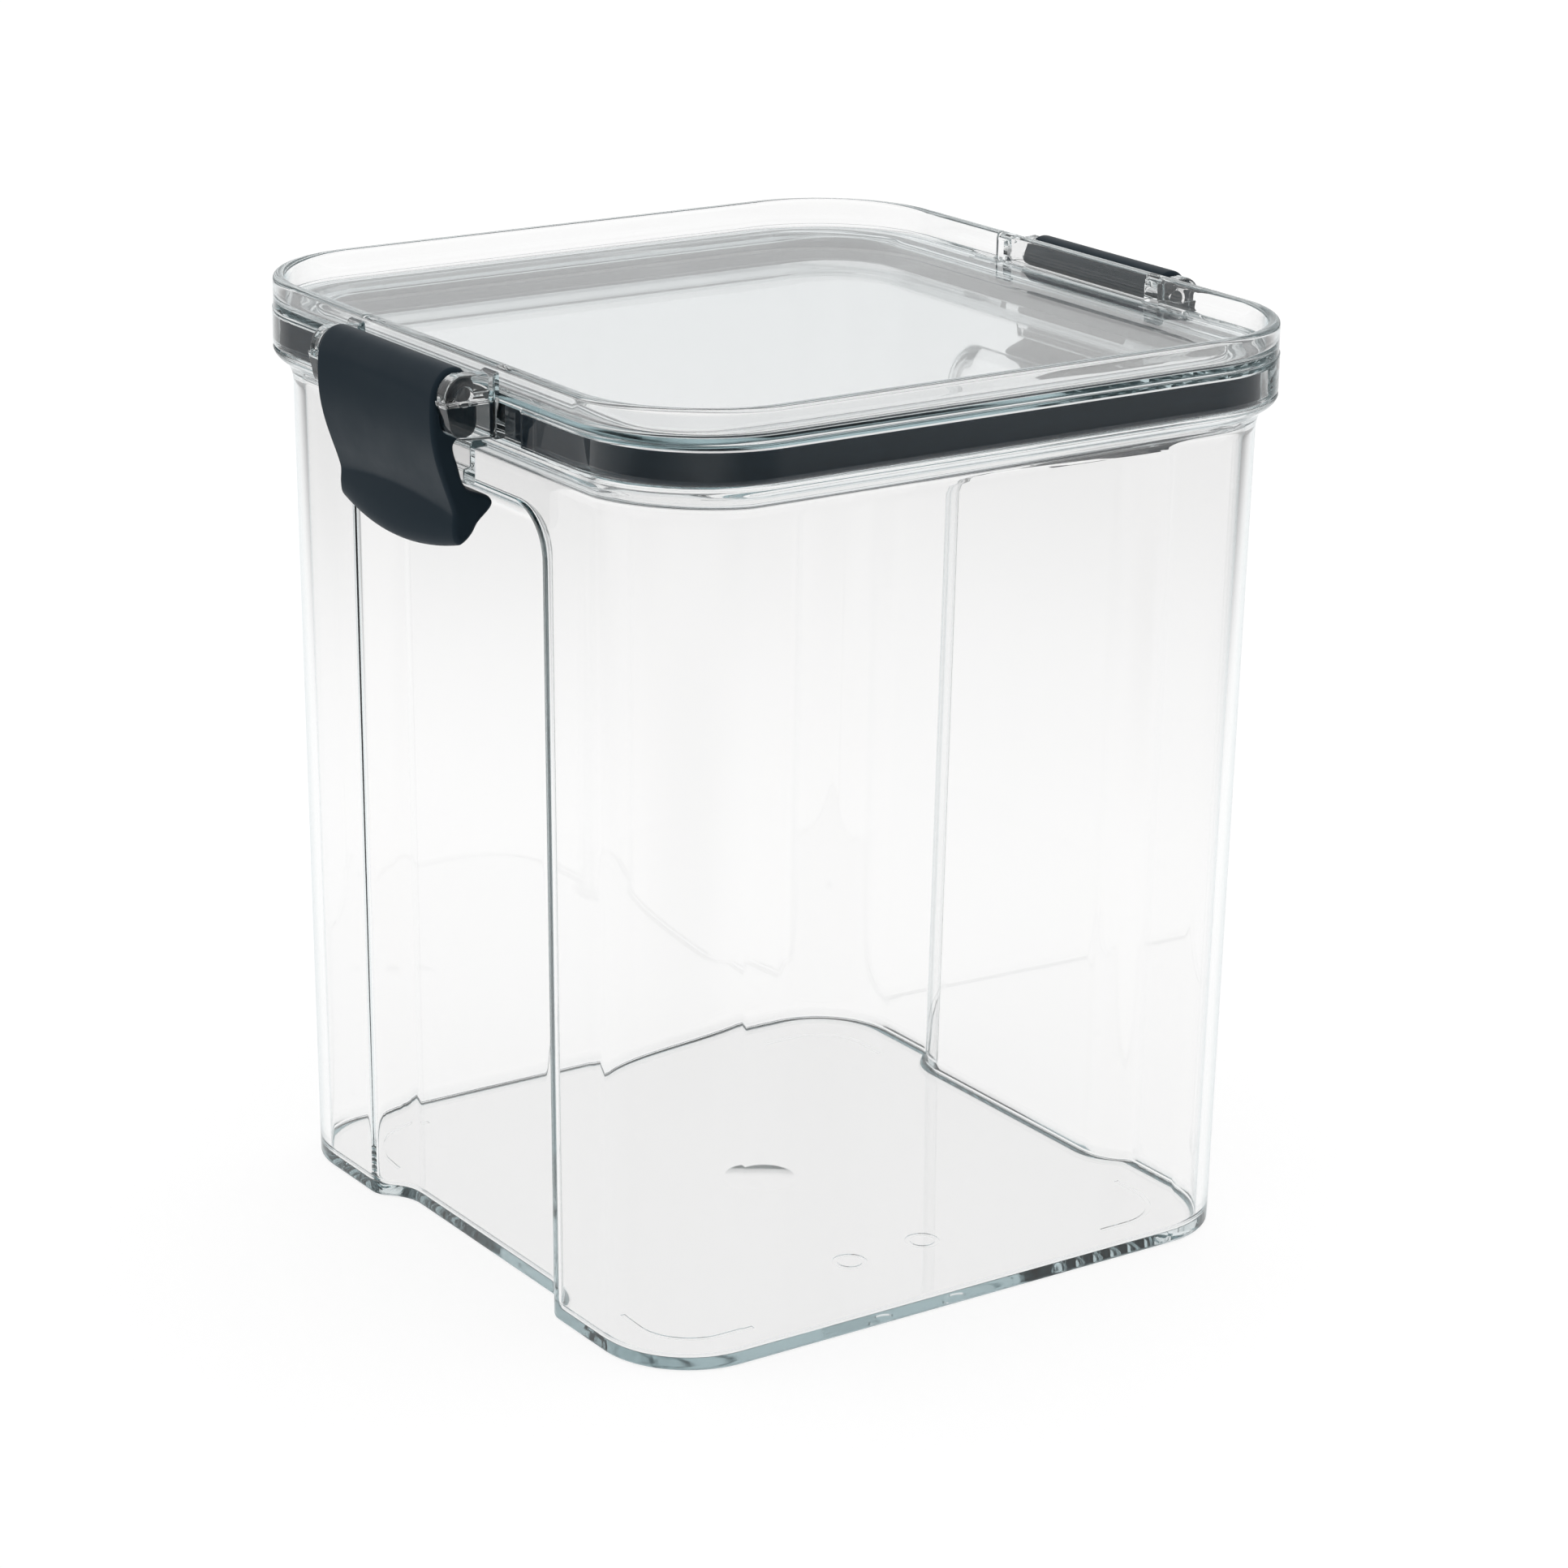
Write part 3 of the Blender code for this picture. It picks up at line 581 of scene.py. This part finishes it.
# ---------------------------------------------------------------- lid
def make_lid():
    rings = []

    def ring(half, r, z, grow=0.0):
        rings.append(rounded_ring(half[0] + grow, half[1] + grow, r + grow, z))

    def outside(inset, z):
        ring(LID_HALF, LID_R, z, -inset)

    skirt_z = FLANGE_TOP_Z + TOUCH
    inner_half = (PLUG_HALF[0] - PLUG_WALL, PLUG_HALF[1] - PLUG_WALL)
    inner_r = PLUG_R - PLUG_WALL
    # Underside of the plate, then down the inside of the plug
    ring(inner_half, inner_r, PLATE_UNDER_Z, -2.4)
    for step in range(6):
        turn = math.radians(90.0 * step / 5)
        ring(inner_half, inner_r, PLATE_UNDER_Z - 1.2 * (1.0 - math.cos(turn)), -1.2 * (1.0 - math.sin(turn)))
    ring(inner_half, inner_r, PLUG_BOTTOM_Z + 1.0)
    # Rounded end of the plug
    for step in range(7):
        turn = math.radians(180.0 * step / 6)
        out = 0.5 * PLUG_WALL * (1.0 - math.cos(turn))
        ring(inner_half, inner_r, PLUG_BOTTOM_Z + 0.5 - 0.5 * math.sin(turn), out)
    ring(PLUG_HALF, PLUG_R, PLUG_BOTTOM_Z + 1.0)
    ring(PLUG_HALF, PLUG_R, skirt_z - 0.4)
    ring(PLUG_HALF, PLUG_R, skirt_z + 0.1)
    # Gasket channel
    cin, cout = CHANNEL_IN, CHANNEL_OUT
    ring(cin[:2], cin[2], skirt_z + 0.1)
    ring(cin[:2], cin[2], skirt_z + 0.6)
    ring(cin[:2], cin[2], CHANNEL_ROOF_Z - 0.3)
    ring(cin[:2], cin[2], CHANNEL_ROOF_Z, 0.05)
    ring(cout[:2], cout[2], CHANNEL_ROOF_Z, -0.3)
    ring(cout[:2], cout[2], CHANNEL_ROOF_Z - 0.3)
    ring(cout[:2], cout[2], skirt_z + 0.5)
    ring(cout[:2], cout[2], skirt_z, 0.15)
    # Skirt
    outside(0.9, skirt_z)
    for step in range(5):
        turn = math.radians(90.0 * step / 4)
        outside(0.5 * (1.0 - math.sin(turn)), skirt_z + 0.5 * (1.0 - math.cos(turn)))
    outside(0.0, skirt_z + 1.0)
    outside(0.0, SHOULDER_Z - 0.5)
    outside(0.0, SHOULDER_Z - 0.25)
    outside(0.03, SHOULDER_Z - 0.1)
    outside(0.12, SHOULDER_Z)
    outside(RIM_STEP, SHOULDER_Z + 0.06)
    outside(RIM_STEP, SHOULDER_Z + 0.5)
    # Raised rim with a full round top
    outside(RIM_STEP, HEIGHT - 1.6)
    for step in range(13):
        turn = math.radians(180.0 * step / 12)
        outside(RIM_STEP + 0.5 * RIM_WALL * (1.0 - math.cos(turn)), HEIGHT - 1.0 + 1.0 * math.sin(turn))
    inner = RIM_STEP + RIM_WALL
    outside(inner, HEIGHT - 1.6)
    fillet = 1.6
    outside(inner, TRAY_FLOOR_Z + fillet + 0.5)
    for step in range(8):
        turn = math.radians(90.0 * step / 7)
        outside(inner + fillet * (1.0 - math.cos(turn)), TRAY_FLOOR_Z + fillet * (1.0 - math.sin(turn)))
    outside(inner + fillet + 1.0, TRAY_FLOOR_Z)
    lid = skin("lid_moulding", rings, sharp=40.0)

    pockets, noses, feet, roots, holes = [], [], [], [], []
    for side in (-1.0, 1.0):
        pocket = prism(
            "pocket",
            [
                (side * x, z)
                for x, z in (
                    (POCKET_FACE_X, FLANGE_TOP_Z - 3.0), (LID_HALF[0] + 4.0, FLANGE_TOP_Z - 3.0),
                    (LID_HALF[0] + 4.0, POCKET_TOP_Z), (POCKET_FACE_X, POCKET_TOP_Z),
                )
            ],
            -POCKET_HALF_W, POCKET_HALF_W, bevel=0.5,
        )
        pockets.append(pocket)
        for end in (-1.0, 1.0):
            nose = prism(
                "ear_nose", [(side * x, z) for x, z in ear_outline(0.25, SHOULDER_Z - 1.0, 999.0)],
                end * EAR_IN_Y, end * (EAR_OUT_Y - EAR_LEDGE), bevel=0.5, segments=4, rim_only=True,
            )
            foot = prism(
                "ear_foot", [(side * x, z) for x, z in ear_outline(0.0, 0.0, SHOULDER_Z)],
                end * EAR_IN_Y, end * EAR_OUT_Y, bevel=0.22, segments=3, rim_only=True,
            )
            root_x0, root_x1 = POCKET_FACE_X - 0.5, LID_HALF[0] + 0.9
            root = prism(
                "root",
                [
                    (side * x, z)
                    for x, z in (
                        (root_x0, PIVOT_Z - 7.9), (root_x1 - 0.5, PIVOT_Z - 7.9), (root_x1, PIVOT_Z - 7.4),
                        (root_x1, PIVOT_Z + 3.3), (root_x1 - 0.25, PIVOT_Z + 3.95), (root_x1 - 0.9, PIVOT_Z + 4.2),
                        (LID_HALF[0] - 1.3, PIVOT_Z + 4.2), (LID_HALF[0] - 1.3, PIVOT_Z - 0.9),
                        (root_x0, PIVOT_Z - 1.0),
                    )
                ],
                end * (EAR_IN_Y + 0.15), end * EAR_ROOT_OUT_Y, bevel=0.35, segments=3, rim_only=True,
            )
            noses.append(nose)
            feet.append(foot)
            roots.append(root)
        holes.append(cylinder_y("pin_hole", side * PIVOT_X, PIVOT_Z, PIN_HOLE_R, PIN_HOLE_END_Y, 40))
    for tools, operation in (
        (pockets, "DIFFERENCE"), (noses, "UNION"), (feet, "UNION"), (roots, "UNION"), (holes, "DIFFERENCE"),
    ):
        boolean(lid, merged(tools), operation)
    finish_flags(lid, 40.0)
    return lid


def finish_flags(obj, sharp):
    obj.data.shade_smooth()
    obj.data.set_sharp_from_angle(angle=math.radians(sharp))


def ear_outline(inset, low, high):
    """(x, z) outline of a hinge ear on the +X side between two heights: flat root, round nose over the pin."""
    nose = 4.3 - inset
    points = [(LID_HALF[0] - 1.2, PIVOT_Z + 3.6 - inset), (LID_HALF[0] + 2.2, PIVOT_Z + 4.0 - inset)]
    for step in range(25):
        turn = math.radians(78.0 - 90.0 * step / 24)
        points.append((PIVOT_X + nose * math.cos(turn), PIVOT_Z + nose * math.sin(turn)))
    foot = spline(
        [(PIVOT_X + 3.6 - inset, PIVOT_Z - 3.6), (PIVOT_X + 2.9 - inset, PIVOT_Z - 6.1), (PIVOT_X + 1.2, PIVOT_Z - 7.4),
         (PIVOT_X - 3.0, PIVOT_Z - 7.9)], 8,
    )
    points.extend(tuple(float(v) for v in q) for q in foot)
    points.append((POCKET_FACE_X - 0.6, PIVOT_Z - 8.0))
    points.append((POCKET_FACE_X - 0.6, PIVOT_Z - 0.8))
    points.append((LID_HALF[0] - 1.2, PIVOT_Z - 0.4))
    return clip_heights(points, low, high)


def clip_heights(points, low, high):
    """Part of a closed (x, z) outline between two heights."""
    for limit, keep in ((low, 1.0), (high, -1.0)):
        kept = []
        for (x0, z0), (x1, z1) in zip(points, points[1:] + points[:1]):
            a, b = keep * (z0 - limit), keep * (z1 - limit)
            if a >= 0.0:
                kept.append((x0, z0))
            if a * b < 0.0:
                t = a / (a - b)
                kept.append((x0 + (x1 - x0) * t, limit))
        points = kept
    return points


def cylinder_y(name, x, z, radius, half_length, segments):
    outline = [
        (x + radius * math.cos(2 * math.pi * i / segments), z + radius * math.sin(2 * math.pi * i / segments))
        for i in range(segments)
    ]
    return prism(name, outline, -half_length, half_length)


# ---------------------------------------------------------------- gasket
def make_gasket():
    out = [v - TOUCH for v in CHANNEL_OUT]
    inn = [v + TOUCH for v in CHANNEL_IN]
    z0, z1 = FLANGE_TOP_Z + TOUCH, CHANNEL_ROOF_Z - TOUCH
    height = z1 - z0
    rings = []
    count = 16
    for i in range(count + 1):
        up = i / count
        # nearly flat sealing face, barely hollow in its middle, with eased edges
        pull = 0.12 * math.exp(-(((up - 0.5) / 0.2) ** 2))
        edge = min(up, 1.0 - up) * height
        pull += 0.3 * (1.0 - math.sqrt(max(0.0, 1.0 - (1.0 - min(1.0, edge / 0.3)) ** 2)))
        rings.append(rounded_ring(out[0] - pull, out[1] - pull, out[2] - pull, z0 + height * up))
    for grow, z in ((0.3, z1), (0.0, z1 - 0.3), (0.0, z0 + 0.3), (0.3, z0)):
        rings.append(rounded_ring(inn[0] + grow, inn[1] + grow, inn[2] + grow, z))
    return skin("gasket_ring", rings, closed=True, sharp=50.0)


# ---------------------------------------------------------------- latches
def latch_outline(y):
    """(x, z) section of the +X latch at distance y from its middle."""
    bow = 1.0 - (y / LATCH_HALF_W) ** 2
    down = -LATCH_BOW * bow
    crease = 1.4 * bow
    flare = 0.9 * bow
    hollow = 0.35 * bow
    front = [
        (79.0, 179.75), (80.6, 180.15), (82.4, 179.75), (84.0, 178.3), (85.0 - 0.3 * hollow, 176.2),
        (85.35 - hollow, 173.6), (85.35 - hollow, 170.0), (84.95 - hollow, 166.4), (84.05 - hollow, 162.6),
        (82.8 - 0.8 * hollow, 158.9), (81.6 - 0.4 * hollow, 155.6 + 0.5 * crease), (80.95, 153.4 + crease),
        (80.9 + 0.3 * flare, 152.4 + 0.9 * crease),
        (80.95 + 0.9 * flare, 150.6 + 0.3 * down), (80.6 + flare, 148.7 + down), (79.6 + 0.8 * flare, 147.85 + down),
        (78.4 + 0.4 * flare, 148.35 + 0.9 * down), (77.0, 149.6 + 0.3 * down), (75.9, 151.3),
        (73.3, 153.7), (72.85, 154.7), (73.3, 155.65), (74.2, 156.3), (78.2, 158.05),
        (79.9, 162.5), (80.75, 166.0), (79.6, 167.25), (77.7, 168.1), (76.9, 169.5), (76.8, 172.4),
        (76.95, 175.0), (77.45, 177.2), (78.25, 178.9),
    ]
    return front


def closed_spline(points, steps):
    ring = points[-2:] + points + points[:3]
    dense = spline(ring, steps)
    return dense[2 * steps : 2 * steps + len(points) * steps]


def inset_loop(loop, distance):
    """Moves a closed (x, z) loop inwards by distance along its normals."""
    pts = np.array(loop)
    ahead = np.roll(pts, -1, 0) - np.roll(pts, 1, 0)
    length = np.linalg.norm(ahead, axis=1, keepdims=True)
    ahead = ahead / np.maximum(length, 1e-9)
    area = 0.5 * np.sum(pts[:, 0] * np.roll(pts[:, 1], -1) - np.roll(pts[:, 0], -1) * pts[:, 1])
    inward = np.stack([-ahead[:, 1], ahead[:, 0]], 1) * (1.0 if area > 0 else -1.0)
    return pts + inward * distance


def make_latch(name, side):
    steps = 4
    edge_r = 0.9
    ys = []
    for i in range(8):
        turn = math.radians(90.0 * i / 7)
        ys.append((-LATCH_HALF_W + edge_r * (1.0 - math.cos(turn)), edge_r * (1.0 - math.sin(turn))))
    ends = ys[:]
    span = LATCH_HALF_W - edge_r
    middle = [(-span + 2 * span * i / 40, 0.0) for i in range(1, 40)]
    ys = ends + middle + [(-y, inset) for y, inset in reversed(ends)]
    rings = []
    for y, inset in ys:
        loop = closed_spline(latch_outline(y), steps)
        loop = inset_loop(loop, inset)
        rings.append([(side * x, y, z) for x, z in loop])
    latch = skin(name, rings, sharp=45.0)

    back = spline(
        [(75.0, 159.6), (80.6, 159.8), (82.0, 163.2), (82.9, 166.8), (83.1, 170.3), (75.0, 170.4)], 1
    )
    hollow = prism(
        "hollow", [(side * x, z) for x, z in back], -LATCH_BACK_HALF_W, LATCH_BACK_HALF_W, bevel=0.5, segments=3
    )
    boolean(latch, hollow, "DIFFERENCE")
    pin = cylinder_y("pin", side * PIVOT_X, PIVOT_Z, PIN_R, PIN_END_Y, 32)
    boolean(latch, pin, "UNION")
    finish_flags(latch, 45.0)
    return latch


# ---------------------------------------------------------------- materials
class Nodes:
    def __init__(self, name):
        self.material = bpy.data.materials.new(name)
        self.material.use_nodes = True
        self.tree = self.material.node_tree
        self.tree.nodes.clear()
        self.output = self.add("ShaderNodeOutputMaterial")

    def add(self, kind, **inputs):
        node = self.tree.nodes.new(kind)
        for key, value in inputs.items():
            key = key.replace("_", " ")
            if hasattr(value, "is_output"):
                self.tree.links.new(value, node.inputs[key])
            else:
                node.inputs[key].default_value = value
        return node

    def link(self, a, b):
        self.tree.links.new(a, b)

    def position(self):
        coord = self.add("ShaderNodeTexCoord")
        return coord.outputs["Object"]

    def noise(self, vector, scale, detail=2.0, roughness=0.5, distortion=0.0):
        node = self.add("ShaderNodeTexNoise", Scale=scale, Detail=detail, Roughness=roughness, Distortion=distortion)
        self.link(vector, node.inputs["Vector"])
        return node.outputs["Fac"]

    def remap(self, value, a, b, c, d):
        node = self.add("ShaderNodeMapRange")
        node.inputs["From Min"].default_value = a
        node.inputs["From Max"].default_value = b
        node.inputs["To Min"].default_value = c
        node.inputs["To Max"].default_value = d
        self.link(value, node.inputs["Value"])
        return node.outputs["Result"]

    def bump(self, height, distance, strength=1.0, normal=None):
        node = self.add("ShaderNodeBump", Strength=strength, Distance=distance)
        self.link(height, node.inputs["Height"])
        if normal is not None:
            self.link(normal, node.inputs["Normal"])
        return node.outputs["Normal"]


def clear_plastic(name, waviness=1.0):
    """Polished clear styrene copolymer: faint flow waves from moulding, fine handling haze, blue-green in depth."""
    n = Nodes(name)
    position = n.position()
    flow = n.noise(position, 26.0, 1.0, 0.4, 0.6)
    haze = n.noise(position, 260.0, 4.0, 0.65)
    normal = n.bump(flow, 0.00003 * waviness, 0.25)
    roughness = n.remap(haze, 0.35, 0.75, 0.0, 0.03)
    # Painted shade at grazing angles: the base colour turns dark blue-green where the surface is seen edge-on. This
    # stands in for reflections of the darker studio, together with the real blue-green of light that has run a long way
    # inside the plastic
    skim = n.add("ShaderNodeLayerWeight", Blend=0.5)
    edge = n.remap(skim.outputs["Facing"], 0.66, 1.0, 0.0, 1.0)
    tint_and_painted_edge_shade = n.add("ShaderNodeMix")
    tint_and_painted_edge_shade.data_type = "RGBA"
    n.link(edge, tint_and_painted_edge_shade.inputs[0])
    tint_and_painted_edge_shade.inputs[6].default_value = (0.986, 0.981, 0.979, 1.0)
    tint_and_painted_edge_shade.inputs[7].default_value = (0.30, 0.44, 0.49, 1.0)
    shader = n.add("ShaderNodeBsdfPrincipled", IOR=1.54)
    n.link(tint_and_painted_edge_shade.outputs[2], shader.inputs["Base Color"])
    shader.inputs["Transmission Weight"].default_value = 1.0
    shader.inputs["Specular IOR Level"].default_value = 0.07
    n.link(roughness, shader.inputs["Roughness"])
    n.link(normal, shader.inputs["Normal"])
    n.link(shader.outputs["BSDF"], n.output.inputs["Surface"])
    volume = n.add("ShaderNodeVolumeAbsorption", Color=(0.40, 0.57, 0.60, 1.0), Density=10.0)
    n.link(volume.outputs["Volume"], n.output.inputs["Volume"])
    n.material.diffuse_color = (0.93, 0.96, 0.96, 0.3)
    return n.material


def charcoal_plastic(name):
    """Satin charcoal moulding with a fine spark texture and faint tone changes."""
    n = Nodes(name)
    position = n.position()
    tone = n.noise(position, 45.0, 3.0, 0.55)
    grain = n.noise(position, 5200.0, 2.0, 0.6)
    pits = n.add("ShaderNodeTexVoronoi", Scale=2600.0)
    n.link(position, pits.inputs["Vector"])
    mix = n.add("ShaderNodeMix")
    mix.data_type = "RGBA"
    n.link(tone, mix.inputs[0])
    mix.inputs[6].default_value = (0.0160, 0.0290, 0.0410, 1.0)
    mix.inputs[7].default_value = (0.0200, 0.0340, 0.0470, 1.0)
    normal = n.bump(grain, 0.00001, 0.55)
    normal = n.bump(pits.outputs["Distance"], 0.000006, 0.35, normal)
    roughness = n.remap(n.noise(position, 120.0, 3.0, 0.6), 0.3, 0.7, 0.38, 0.47)
    shader = n.add("ShaderNodeBsdfPrincipled", IOR=1.49)
    n.link(mix.outputs[2], shader.inputs["Base Color"])
    shader.inputs["Specular IOR Level"].default_value = 0.08
    n.link(roughness, shader.inputs["Roughness"])
    n.link(normal, shader.inputs["Normal"])
    n.link(shader.outputs["BSDF"], n.output.inputs["Surface"])
    n.material.diffuse_color = (0.045, 0.052, 0.06, 1.0)
    return n.material


def silicone(name):
    """Matt charcoal silicone with a soft bloom."""
    n = Nodes(name)
    position = n.position()
    bloom = n.noise(position, 30.0, 3.0, 0.6)
    grain = n.noise(position, 2400.0, 2.0, 0.5)
    mix = n.add("ShaderNodeMix")
    mix.data_type = "RGBA"
    n.link(bloom, mix.inputs[0])
    mix.inputs[6].default_value = (0.0340, 0.0560, 0.0760, 1.0)
    mix.inputs[7].default_value = (0.0420, 0.0660, 0.0880, 1.0)
    normal = n.bump(grain, 0.00001, 0.4)
    shader = n.add("ShaderNodeBsdfPrincipled", IOR=1.42, Roughness=0.55)
    n.link(mix.outputs[2], shader.inputs["Base Color"])
    shader.inputs["Specular IOR Level"].default_value = 0.08
    n.link(normal, shader.inputs["Normal"])
    n.link(shader.outputs["BSDF"], n.output.inputs["Surface"])
    n.material.diffuse_color = (0.06, 0.075, 0.085, 1.0)
    return n.material


# Plan direction from the object towards the darker, open side of the studio
OPEN_SIDE = (-0.5667, -0.8239, 0.0)


def floor_material():
    """Plain matt white sweep that glows a little itself, which is painted light, with painted shade: its paint and glow
    fall away to grey towards the studio's open side.
    """
    n = Nodes("floor_paper")
    position = n.position()
    tone = n.noise(position, 3.0, 2.0, 0.5)
    along = n.add("ShaderNodeVectorMath")
    along.operation = "DOT_PRODUCT"
    n.link(position, along.inputs[0])
    along.inputs[1].default_value = OPEN_SIDE
    # Painted shade: the floor's paint and glow darken from the object towards the studio's open side
    far_painted_shade = n.add("ShaderNodeMapRange")
    far_painted_shade.interpolation_type = "SMOOTHSTEP"
    far_painted_shade.inputs["From Min"].default_value = 0.17
    far_painted_shade.inputs["From Max"].default_value = 0.50
    far_painted_shade.inputs["To Min"].default_value = 1.0
    far_painted_shade.inputs["To Max"].default_value = FLOOR_FAR_PAINTED_SHADE
    n.link(along.outputs["Value"], far_painted_shade.inputs["Value"])
    # Painted shade beside the lit wedge: the floor's paint and glow fall away there too
    beside = n.add("ShaderNodeVectorMath")
    beside.operation = "DOT_PRODUCT"
    n.link(position, beside.inputs[0])
    beside.inputs[1].default_value = (-OPEN_SIDE[1], OPEN_SIDE[0], 0.0)
    out = n.add("ShaderNodeMath")
    out.operation = "ABSOLUTE"
    n.link(beside.outputs["Value"], out.inputs[0])
    wedge = n.add("ShaderNodeMath")
    wedge.operation = "MULTIPLY_ADD"
    n.link(along.outputs["Value"], wedge.inputs[0])
    wedge.inputs[1].default_value = 0.18
    n.link(out.outputs[0], wedge.inputs[2])
    beside_painted_shade = n.add("ShaderNodeMapRange")
    beside_painted_shade.interpolation_type = "SMOOTHSTEP"
    beside_painted_shade.inputs["From Min"].default_value = 0.24
    beside_painted_shade.inputs["From Max"].default_value = 0.56
    beside_painted_shade.inputs["To Min"].default_value = 1.0
    beside_painted_shade.inputs["To Max"].default_value = FLOOR_BESIDE_PAINTED_SHADE
    n.link(wedge.outputs[0], beside_painted_shade.inputs["Value"])
    # Both painted shades together, scaling the floor's paint and glow
    floor_painted_shade = n.add("ShaderNodeMath")
    floor_painted_shade.operation = "MULTIPLY"
    n.link(far_painted_shade.outputs["Result"], floor_painted_shade.inputs[0])
    n.link(beside_painted_shade.outputs["Result"], floor_painted_shade.inputs[1])
    level = n.remap(tone, 0.3, 0.7, 0.985, 1.0)
    scale = n.add("ShaderNodeMath")
    scale.operation = "MULTIPLY"
    n.link(floor_painted_shade.outputs[0], scale.inputs[0])
    n.link(level, scale.inputs[1])
    # Painted light: the floor glows, which fills in the shade the canister casts on it and keeps it white
    glow = n.add("ShaderNodeMath")
    glow.operation = "MULTIPLY"
    n.link(scale.outputs[0], glow.inputs[0])
    glow.inputs[1].default_value = FLOOR_GLOW
    paint = n.add("ShaderNodeMath")
    paint.operation = "MULTIPLY"
    n.link(scale.outputs[0], paint.inputs[0])
    paint.inputs[1].default_value = FLOOR_PAINT
    matt = n.add("ShaderNodeBsdfDiffuse")
    n.link(paint.outputs[0], matt.inputs["Color"])
    light = n.add("ShaderNodeEmission")
    n.link(glow.outputs[0], light.inputs["Strength"])
    both = n.add("ShaderNodeAddShader")
    n.link(matt.outputs["BSDF"], both.inputs[0])
    n.link(light.outputs["Emission"], both.inputs[1])
    n.link(both.outputs["Shader"], n.output.inputs["Surface"])
    return n.material


# ---------------------------------------------------------------- assembly
def dress(obj, material, body, node):
    obj.data.materials.clear()
    obj.data.materials.append(material)
    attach(obj, body)
    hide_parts(node)


body_clear = clear_plastic("clear_plastic_body", 1.0)
lid_clear = clear_plastic("clear_plastic_lid", 0.8)
charcoal = charcoal_plastic("charcoal_satin")
seal = silicone("gasket_silicone")

dress(make_body(), body_clear, "container", "container_body")
dress(make_lid(), lid_clear, "lid_assembly", "lid")
dress(make_gasket(), seal, "lid_assembly", "gasket")
dress(make_latch("latch_moulding_left", -1.0), charcoal, "latch_left", "latch_left")
dress(make_latch("latch_moulding_right", 1.0), charcoal, "latch_right", "latch_right")

# ---------------------------------------------------------------- stage, light, camera
bpy.ops.mesh.primitive_circle_add(vertices=96, radius=30.0, fill_type="NGON", location=(0.0, 0.0, -0.0002))
floor = bpy.context.active_object
floor.name = "floor"
floor.data.materials.append(floor_material())

world = bpy.data.worlds.new("studio")
scene.world = world
world.use_nodes = True
background = world.node_tree.nodes["Background"]
background.inputs["Color"].default_value = (1.0, 1.0, 1.0, 1.0)
sky_coord = world.node_tree.nodes.new("ShaderNodeTexCoord")
sky_dot = world.node_tree.nodes.new("ShaderNodeVectorMath")
sky_dot.operation = "DOT_PRODUCT"
sky_dot.inputs[1].default_value = OPEN_SIDE
sky_level = world.node_tree.nodes.new("ShaderNodeMapRange")
sky_level.interpolation_type = "SMOOTHSTEP"
sky_level.inputs["From Min"].default_value = 0.15
sky_level.inputs["From Max"].default_value = 0.85
sky_level.inputs["To Min"].default_value = SKY
sky_level.inputs["To Max"].default_value = SKY_OPEN_SIDE
world.node_tree.links.new(sky_coord.outputs["Generated"], sky_dot.inputs[0])
world.node_tree.links.new(sky_dot.outputs["Value"], sky_level.inputs["Value"])
world.node_tree.links.new(sky_level.outputs["Result"], background.inputs["Strength"])

scene.view_settings.view_transform = "Standard"
scene.view_settings.look = "None"
scene.cycles.max_bounces = 64
scene.cycles.transmission_bounces = 64
scene.cycles.diffuse_bounces = 3
scene.cycles.glossy_bounces = 64


def place_camera():
    azimuth, elevation, roll = (math.radians(v) for v in (-34.524, 18.281, 0.81))
    back = Vector((math.sin(azimuth) * math.cos(elevation), -math.cos(azimuth) * math.cos(elevation), math.sin(elevation)))
    right = Vector((math.cos(azimuth), math.sin(azimuth), 0.0))
    up = back.cross(right)
    right, up = (
        right * math.cos(roll) + up * math.sin(roll),
        -right * math.sin(roll) + up * math.cos(roll),
    )
    flat_right = Vector((math.cos(azimuth), math.sin(azimuth), 0.0))
    place = (back * 875.382 + Vector((0.0, 0.0, 83.453)) + flat_right * 4.199) * MM
    data = bpy.data.cameras.new("photo_angle")
    data.sensor_fit = "HORIZONTAL"
    data.sensor_width = 36.0
    data.lens = 5526.588 / 1932.0 * 36.0
    data.clip_start = 0.01
    data.clip_end = 100.0
    camera = bpy.data.objects.new("photo_angle", data)
    scene.collection.objects.link(camera)
    turn = Matrix((right, up, back)).transposed().to_4x4()
    camera.matrix_world = Matrix.Translation(place) @ turn
    scene.camera = camera


place_camera()
